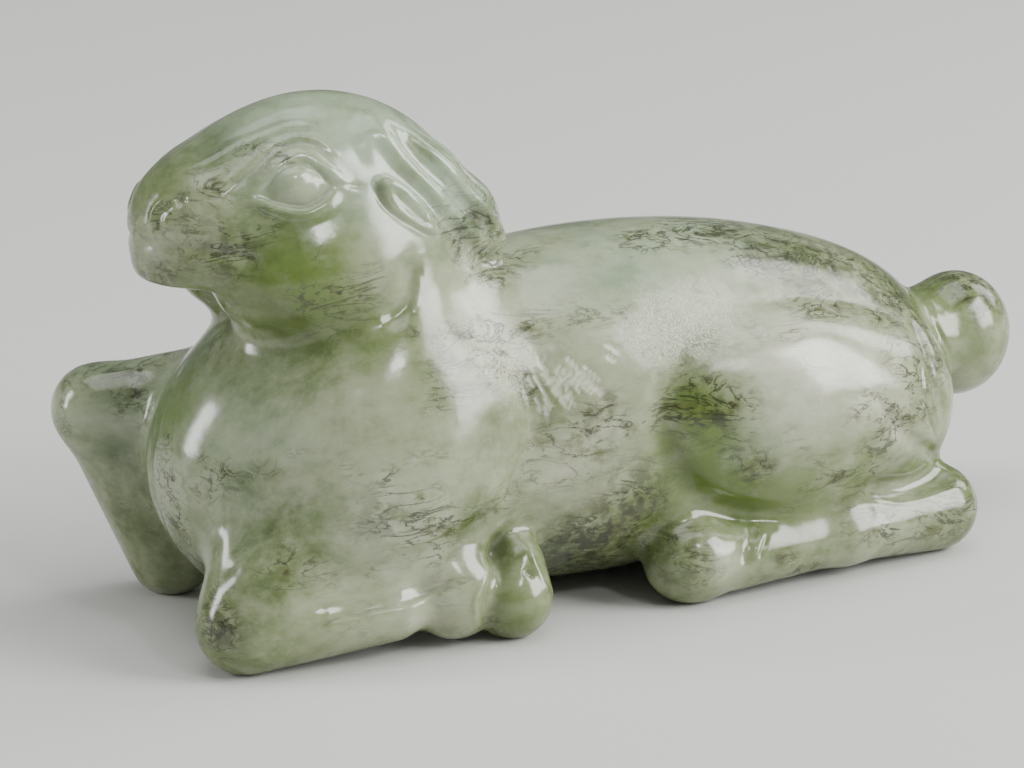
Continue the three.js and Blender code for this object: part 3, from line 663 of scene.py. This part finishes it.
# %%
def keep_coat_direction(mesh):
    """The way the hair lies: down the flank, and more towards the tail further back."""
    p = corners(mesh)
    slant = 0.3 + 0.13 * np.clip(p[:, 0] + 3, 0, 5)
    way = np.stack([slant, np.zeros(len(p)), -np.ones(len(p))], axis=1)
    n = outward(p)
    way -= n * (way * n).sum(axis=1, keepdims=True)
    layer = mesh.attributes.new("lay", "FLOAT_VECTOR", "POINT")
    layer.data.foreach_set("vector", way.ravel().astype(np.float32))


keep_coat_direction(skin)


def hair_tree():
    tree = bpy.data.node_groups.new("scratched coat", "GeometryNodeTree")
    face = tree.interface
    face.new_socket("Skin", in_out="INPUT", socket_type="NodeSocketGeometry")
    for name in ("Length", "Spacing", "Width", "Depth"):
        face.new_socket(name, in_out="INPUT", socket_type="NodeSocketFloat")
    face.new_socket("Seed", in_out="INPUT", socket_type="NodeSocketInt")
    face.new_socket("Stone", in_out="INPUT", socket_type="NodeSocketMaterial")
    face.new_socket("Skin", in_out="OUTPUT", socket_type="NodeSocketGeometry")
    node, link = tree.nodes.new, tree.links.new
    given, result = node("NodeGroupInput"), node("NodeGroupOutput")

    def number(name, kind="FLOAT"):
        read = node("GeometryNodeInputNamedAttribute")
        read.data_type = kind
        read.inputs["Name"].default_value = name
        return read.outputs["Attribute"]

    scatter = node("GeometryNodeDistributePointsOnFaces")
    scatter.distribute_method = "POISSON"
    link(given.outputs["Skin"], scatter.inputs["Mesh"])
    link(given.outputs["Spacing"], scatter.inputs["Distance Min"])
    link(given.outputs["Seed"], scatter.inputs["Seed"])
    link(number("coat"), scatter.inputs["Density Factor"])
    scatter.inputs["Density Max"].default_value = 1e8

    turn = node("FunctionNodeAlignRotationToVector")
    turn.axis = "X"
    link(number("lay", "FLOAT_VECTOR"), turn.inputs["Vector"])
    stroke = node("GeometryNodeMeshLine")
    stroke.mode, stroke.count_mode = "END_POINTS", "TOTAL"
    stroke.inputs["Count"].default_value = 7
    end = node("ShaderNodeCombineXYZ")
    link(given.outputs["Length"], end.inputs["X"])
    link(end.outputs["Vector"], stroke.inputs["Offset"])
    size = node("FunctionNodeRandomValue")
    size.data_type = "FLOAT"
    size.inputs[2].default_value, size.inputs[3].default_value = 0.55, 1.1
    link(given.outputs["Seed"], size.inputs["Seed"])
    lay = node("GeometryNodeInstanceOnPoints")
    link(scatter.outputs["Points"], lay.inputs["Points"])
    link(stroke.outputs["Mesh"], lay.inputs["Instance"])
    link(turn.outputs["Rotation"], lay.inputs["Rotation"])
    link(size.outputs[1], lay.inputs["Scale"])
    strokes = node("GeometryNodeRealizeInstances")
    link(lay.outputs["Instances"], strokes.inputs["Geometry"])

    hug = node("GeometryNodeProximity")
    hug.target_element = "FACES"
    link(given.outputs["Skin"], hug.inputs[0])
    down = node("GeometryNodeSetPosition")
    link(strokes.outputs["Geometry"], down.inputs["Geometry"])
    link(hug.outputs["Position"], down.inputs["Position"])

    near = node("GeometryNodeProximity")
    near.target_element = "EDGES"
    link(down.outputs["Geometry"], near.inputs[0])
    groove = node("ShaderNodeMapRange")
    groove.interpolation_type = "SMOOTHSTEP"
    link(near.outputs["Distance"], groove.inputs["Value"])
    link(given.outputs["Width"], groove.inputs["From Max"])
    groove.inputs["To Min"].default_value, groove.inputs["To Max"].default_value = 1.0, 0.0
    press = node("ShaderNodeMath")
    press.operation = "MULTIPLY"
    link(groove.outputs["Result"], press.inputs[0])
    link(given.outputs["Depth"], press.inputs[1])
    inward = node("ShaderNodeVectorMath")
    inward.operation = "SCALE"
    link(node("GeometryNodeInputNormal").outputs[0], inward.inputs[0])
    link(press.outputs["Value"], inward.inputs["Scale"])
    away = node("ShaderNodeVectorMath")
    away.operation = "SCALE"
    away.inputs["Scale"].default_value = -1.0
    link(inward.outputs["Vector"], away.inputs[0])

    keep = node("GeometryNodeStoreNamedAttribute")
    keep.data_type, keep.domain = "FLOAT", "POINT"
    keep.inputs["Name"].default_value = "scratch"
    link(given.outputs["Skin"], keep.inputs["Geometry"])
    link(groove.outputs["Result"], keep.inputs["Value"])
    cut = node("GeometryNodeSetPosition")
    link(keep.outputs["Geometry"], cut.inputs["Geometry"])
    link(away.outputs["Vector"], cut.inputs["Offset"])
    whole = node("GeometryNodeRealizeInstances")
    link(cut.outputs["Geometry"], whole.inputs["Geometry"])
    clothe = node("GeometryNodeSetMaterial")
    link(whole.outputs["Geometry"], clothe.inputs["Geometry"])
    link(given.outputs["Stone"], clothe.inputs["Material"])
    link(clothe.outputs["Geometry"], result.inputs["Skin"])
    return tree


def scratched(mesh, stone, **settings):
    draft = bpy.data.objects.new("draft", mesh)
    bpy.context.scene.collection.objects.link(draft)
    worked = draft.modifiers.new("coat", "NODES")
    worked.node_group = hair_tree()
    sockets = {s.name: s.identifier for s in worked.node_group.interface.items_tree
               if s.in_out == "INPUT"}
    for name, value in dict(settings, Stone=stone).items():
        worked[sockets[name]] = value
    done = bpy.data.meshes.new_from_object(draft.evaluated_get(bpy.context.evaluated_depsgraph_get()))
    bpy.data.objects.remove(draft)
    return done


# %% [markdown]
# ## The stone
#
# The colour is mixed the way the mineral is, with two kinds of painted light laid over it: a
# grey-green ground with milky clouds in it, a painted cool bluish light on the tops, a painted
# saturated green glow of light through the stone in the shaded hollows and undersides, then
# brown-black flecks and veins that follow the grain of the stone, which runs along the body. Light
# enters the surface and spreads a little before it leaves, which softens every edge. Scratched and
# unpolished places are paler and dull, and the rest has a deep, slightly uneven polish.

# %%
DEEP, MID, PALE, MILK = (0.045, 0.062, 0.016), (0.15, 0.19, 0.08), (0.33, 0.36, 0.23), (0.55, 0.56, 0.44)
# The first two colours on the next line are painted light: a cool bluish light for the tops and a green glow
# of light through the stone for the shaded hollows. The last two are the stone's own marks.
PAINTED_COOL_LIGHT, PAINTED_GLOW_GREEN, FLECK, OLIVE = (0.36, 0.45, 0.33), (0.10, 0.16, 0.016), (0.018, 0.018, 0.006), (0.09, 0.10, 0.02)


def jade():
    stone = bpy.data.materials.new("jade")
    stone.use_nodes = True
    nodes, link = stone.node_tree.nodes, stone.node_tree.links.new
    skin_shader = nodes["Principled BSDF"]
    object_place = nodes.new("ShaderNodeTexCoord").outputs["Object"]

    def noise(size, detail=4.0, rough=0.55, stretch=(1, 1, 1), turn=(0, 0, 0), seed=0.0, bend=0.0):
        """Noise with features of about size mm, drawn out along the axes by stretch."""
        place = nodes.new("ShaderNodeMapping")
        place.inputs["Rotation"].default_value = turn
        place.inputs["Scale"].default_value = [1000 / size / s for s in stretch]
        place.inputs["Location"].default_value = (seed, 2 * seed, 3 * seed)
        link(object_place, place.inputs["Vector"])
        grain = nodes.new("ShaderNodeTexNoise")
        grain.inputs["Scale"].default_value = 1.0
        grain.inputs["Detail"].default_value = detail
        grain.inputs["Roughness"].default_value = rough
        grain.inputs["Distortion"].default_value = bend
        link(place.outputs["Vector"], grain.inputs["Vector"])
        return grain.outputs["Fac"]

    def mask(name):
        read = nodes.new("ShaderNodeAttribute")
        read.attribute_name = name
        return read.outputs["Fac"]

    def maths(kind, a, b, clamp=False):
        step = nodes.new("ShaderNodeMath")
        step.operation, step.use_clamp = kind, clamp
        for socket, value in zip(step.inputs, (a, b)):
            if isinstance(value, (int, float)):
                socket.default_value = value
            else:
                link(value, socket)
        return step.outputs["Value"]

    def ramp(value, low, high):
        step = nodes.new("ShaderNodeMapRange")
        step.interpolation_type = "SMOOTHSTEP"
        step.inputs["From Min"].default_value, step.inputs["From Max"].default_value = low, high
        link(value, step.inputs["Value"])
        return step.outputs["Result"]

    def mixed(share, below, above):
        step = nodes.new("ShaderNodeMix")
        step.data_type = "RGBA"
        for socket, value in ((step.inputs[0], share), (step.inputs[6], below), (step.inputs[7], above)):
            if isinstance(value, tuple):
                socket.default_value = (*value, 1.0)
            else:
                link(value, socket)
        return step.outputs[2]

    clouds = noise(5.0, 6, 0.62, (1.4, 1, 1), (0, 0.3, 0), seed=4, bend=0.4)
    fine = noise(0.9, 5, 0.7, (1.6, 1, 1), (0, 0.4, 0), seed=9)
    tone = maths("ADD", maths("MULTIPLY", clouds, 0.9), maths("MULTIPLY", mask("milky"), 0.42))
    tone = maths("ADD", tone, maths("MULTIPLY", maths("SUBTRACT", fine, 0.5), 0.38))
    colour = mixed(ramp(tone, 0.16, 0.48), DEEP, MID)
    colour = mixed(ramp(tone, 0.36, 0.66), colour, PALE)
    colour = mixed(ramp(tone, 0.62, 0.98), colour, MILK)
    # Painted cool light, mostly on the upward-facing tops.
    painted_cool_light_share = maths("MULTIPLY", mask("painted_cool_light"), ramp(noise(3.0, 4, 0.6, seed=21), 0.2, 0.62))
    colour = mixed(maths("MULTIPLY", painted_cool_light_share, 0.75), colour, PAINTED_COOL_LIGHT)
    # Painted glow: saturated green where light through the stone shows in the shaded hollows and undersides.
    painted_glow_share = maths("MULTIPLY", mask("painted_glow"), ramp(noise(2.2, 4, 0.6, seed=31), 0.18, 0.55))
    colour = mixed(maths("MULTIPLY", painted_glow_share, 0.9), colour, PAINTED_GLOW_GREEN)

    gather = ramp(noise(4.4, 3, 0.5, (1.5, 1, 1), (0, 0.35, 0), seed=41), 0.46, 0.66)
    gather = maths("ADD", gather, maths("MULTIPLY", mask("dark"), 1.3), clamp=True)
    veins = noise(1.5, 6, 0.6, (2.6, 1.2, 0.8), (0, 0.45, 0.2), seed=51, bend=1.1)
    veins = maths("SUBTRACT", 1.0, ramp(maths("ABSOLUTE", maths("SUBTRACT", veins, 0.5), 0.0), 0.0, 0.035))
    flecks = ramp(noise(0.55, 4, 0.65, (1.5, 1, 1), (0, 0.4, 0), seed=61), 0.56, 0.70)
    stain = ramp(noise(1.3, 5, 0.65, (1.5, 1, 0.9), (0, 0.4, 0), seed=71), 0.50, 0.66)
    colour = mixed(maths("MULTIPLY", maths("MULTIPLY", stain, gather), 0.75), colour, OLIVE)
    marks = maths("MULTIPLY", maths("MAXIMUM", veins, flecks), gather)
    colour = mixed(maths("MULTIPLY", marks, 0.85), colour, FLECK)
    core = maths("MULTIPLY", mask("dark"), ramp(noise(0.8, 4, 0.6, seed=81), 0.40, 0.60))
    colour = mixed(maths("MULTIPLY", core, 0.8), colour, FLECK)

    stipple = noise(0.12, 2, 0.5, seed=91)
    dull = maths("MULTIPLY", mask("unpolished"), ramp(noise(0.8, 3, 0.6, seed=95), 0.3, 0.55), clamp=True)
    scratch = maths("MULTIPLY", mask("scratch"), ramp(mask("coat"), 0.05, 0.3), clamp=True)
    frosted = maths("MAXIMUM", maths("MULTIPLY", dull, ramp(stipple, 0.42, 0.62)), scratch)
    colour = mixed(maths("MULTIPLY", frosted, 0.7), colour, (0.62, 0.62, 0.5))
    link(colour, skin_shader.inputs["Base Color"])

    polish = maths("ADD", maths("MULTIPLY", fine, 0.10), 0.12)
    rough = maths("ADD", polish, maths("MULTIPLY", maths("MAXIMUM", dull, scratch), 0.36))
    link(rough, skin_shader.inputs["Roughness"])
    skin_shader.inputs["IOR"].default_value = 1.61
    skin_shader.inputs["Subsurface Weight"].default_value = 0.45
    skin_shader.inputs["Subsurface Radius"].default_value = (0.8, 1.2, 0.5)
    skin_shader.inputs["Subsurface Scale"].default_value = 0.001

    unevenness = maths("ADD", maths("MULTIPLY", noise(1.6, 3, 0.5, seed=101), 0.05),
                       maths("MULTIPLY", maths("MULTIPLY", dull, stipple), 0.06))
    bump = nodes.new("ShaderNodeBump")
    bump.inputs["Strength"].default_value = 0.5
    bump.inputs["Distance"].default_value = 0.001
    link(unevenness, bump.inputs["Height"])
    link(bump.outputs["Normal"], skin_shader.inputs["Normal"])
    return stone


stone = jade()
carving = scratched(skin, stone, Length=0.0011, Spacing=0.00034, Width=0.00016, Depth=0.00007, Seed=7)
for polygon in carving.polygons:
    polygon.use_smooth = True
piece = bpy.data.objects.new("carved_jade_ram", carving)
bpy.context.scene.collection.objects.link(piece)
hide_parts("jade_ram")
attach(piece, "root")
carving.calc_loop_triangles()
print("the carving has", len(carving.loop_triangles), "triangles")

# %% [markdown]
# ## The table and the lamps
#
# The ram lies on a plain pale table. The glints on the polish give the lamps away: a large soft box
# to the right of the camera, a second, paler one further round behind the tail, a narrow one
# to the left in front of the chest, and a small lamp beside the camera.

# %%
def table_top():
    size = 1.6
    mesh = bpy.data.meshes.new("table")
    mesh.from_pydata([(-size, -size, 0), (size, -size, 0), (size, size, 0), (-size, size, 0)], [],
                     [(0, 1, 2, 3)])
    table = bpy.data.objects.new("table", mesh)
    bpy.context.scene.collection.objects.link(table)
    matt = bpy.data.materials.new("pale table")
    matt.use_nodes = True
    matt.node_tree.nodes["Principled BSDF"].inputs["Base Color"].default_value = (0.62, 0.61, 0.59, 1)
    matt.node_tree.nodes["Principled BSDF"].inputs["Roughness"].default_value = 0.9
    mesh.materials.append(matt)
    return table


def lamp(name, azimuth, elevation, away, width, height, watts):
    """A soft box. Azimuth 0 is in front of the near side, 90 behind the tail."""
    a, e = math.radians(azimuth), math.radians(elevation)
    light = bpy.data.lights.new(name, "AREA")
    light.shape, light.size, light.size_y, light.energy = "RECTANGLE", width, height, watts
    box = bpy.data.objects.new(name, light)
    way = Vector((math.sin(a) * math.cos(e), -math.cos(a) * math.cos(e), math.sin(e)))
    box.location = Vector(MIDDLE) + away * way
    box.rotation_euler = way.to_track_quat("Z", "Y").to_euler()
    bpy.context.scene.collection.objects.link(box)


MIDDLE = (0.0, 0.0, 0.012)
table_top()
lamp("right soft box", 50, 25, 0.42, 0.20, 0.30, 2.6)
lamp("tail soft box", 92, 32, 0.45, 0.16, 0.26, 0.8)
lamp("left strip", -112, 18, 0.40, 0.08, 0.22, 0.8)
lamp("front lamp", 8, 42, 0.45, 0.05, 0.05, 0.25)
lamp("sky", 0, 88, 0.6, 0.5, 0.5, 2.2)

world = bpy.data.worlds.new("room")
world.use_nodes = True
world.node_tree.nodes["Background"].inputs["Color"].default_value = (0.9, 0.95, 1.0, 1)
world.node_tree.nodes["Background"].inputs["Strength"].default_value = 0.25
bpy.context.scene.world = world

# %% [markdown]
# ## The camera
#
# The lens is long, so the ram is hardly foreshortened. It looks down a little and from slightly in
# front of the chest, which is how the photograph shows both the face and the long flank.

# %%
AZIMUTH, ELEVATION, DISTANCE = -28.0, 17.0, 0.28
LOOKED_AT = (-0.0046796, -0.0000236, 0.01175)


def camera():
    a, e = math.radians(AZIMUTH), math.radians(ELEVATION)
    back = Vector((math.sin(a) * math.cos(e), -math.cos(a) * math.cos(e), math.sin(e)))
    lens = bpy.data.cameras.new("camera")
    lens.lens, lens.sensor_width, lens.clip_start = 171.28, 36.0, 0.01
    view = bpy.data.objects.new("camera", lens)
    view.location = Vector(LOOKED_AT) + DISTANCE * back
    view.rotation_euler = back.to_track_quat("Z", "Y").to_euler()
    bpy.context.scene.collection.objects.link(view)
    bpy.context.scene.camera = view


camera()
